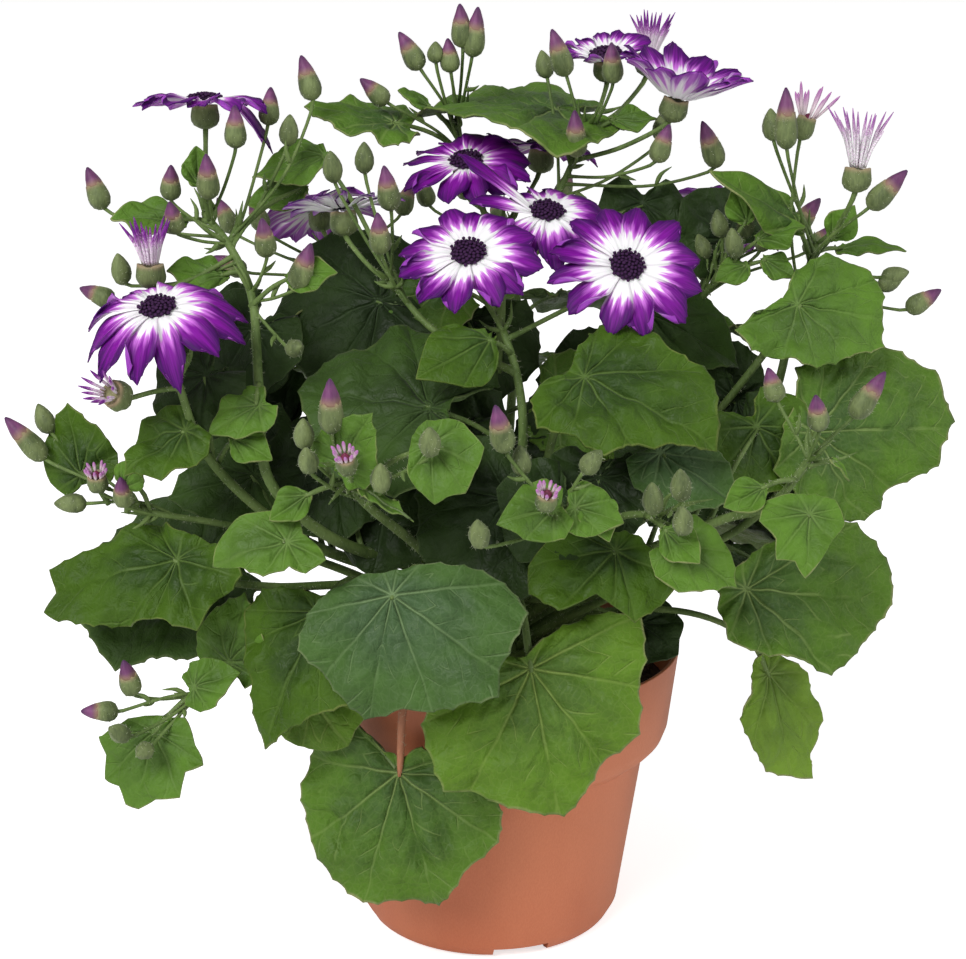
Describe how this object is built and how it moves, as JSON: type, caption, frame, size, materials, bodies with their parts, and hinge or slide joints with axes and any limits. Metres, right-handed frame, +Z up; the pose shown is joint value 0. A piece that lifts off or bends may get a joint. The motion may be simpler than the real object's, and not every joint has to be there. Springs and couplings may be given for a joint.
{
  "type": "potted florist cineraria",
  "caption": "Florist cineraria in a nursery pot: broad toothed leaves, branched flowering stems with buds, and daisy flowers in violet and white round a dark eye.",
  "frame": {"origin": "middle of the pot's base, on the surface that it stands on", "axes": "+Z up; -Y towards the side with the most leaves and blooms; +X to the right seen from there"},
  "size_m": [0.307, 0.2315, 0.312],
  "materials": {
    "pot_plastic": "satin",
    "potting_soil": "matte",
    "leaf": "matte",
    "stem": "matte",
    "ray_petal": "matte",
    "flower_eye": "matte"
  },
  "bodies": {
    "root": {"pot": "pot_plastic", "potting_soil": "potting_soil", "crown": "stem", "leaf_back": "leaf", "leaf_back_left": "leaf", "leaf_back_right": "leaf", "leaf_centre_low": "leaf", "leaf_centre_right": "leaf", "leaf_front_left": "leaf", "leaf_front_right": "leaf", "leaf_hanging_right": "leaf", "leaf_left": "leaf", "leaf_left_under": "leaf", "leaf_low_left": "leaf", "leaf_low_right": "leaf", "leaf_pot_left": "leaf", "leaf_right": "leaf", "leaf_right_rear": "leaf", "leaf_upper_right": "leaf", "stem_back": "stem", "stem_back_left": "stem", "stem_back_right": "stem", "stem_centre": "stem", "stem_front": "stem", "stem_front_left": "stem", "stem_left": "stem", "stem_low_left": "stem", "stem_low_right": "stem", "stem_mid_right": "stem", "stem_right": "stem", "stem_top": "stem", "stem_upper_left": "stem", "flower_back_left_eye": "flower_eye", "flower_back_left_rays": "ray_petal", "flower_back_right_eye": "flower_eye", "flower_back_right_rays": "ray_petal", "flower_front_left_eye": "flower_eye", "flower_front_left_rays": "ray_petal", "flower_front_right_eye": "flower_eye", "flower_front_right_rays": "ray_petal", "flower_left_eye": "flower_eye", "flower_left_rays": "ray_petal", "flower_middle_eye": "flower_eye", "flower_middle_rays": "ray_petal", "flower_pale_eye": "flower_eye", "flower_pale_rays": "ray_petal", "flower_rear_middle_eye": "flower_eye", "flower_rear_middle_rays": "ray_petal", "flower_top_eye": "flower_eye", "flower_top_left_eye": "flower_eye", "flower_top_left_rays": "ray_petal", "flower_top_rays": "ray_petal", "flower_top_right_eye": "flower_eye", "flower_top_right_rays": "ray_petal", "flower_upper_middle_eye": "flower_eye", "flower_upper_middle_rays": "ray_petal", "quilled_left_rays": "ray_petal", "quilled_low_left_rays": "ray_petal", "quilled_right_rays": "ray_petal", "quilled_top_rays": "ray_petal"}
  },
  "joints": []
}
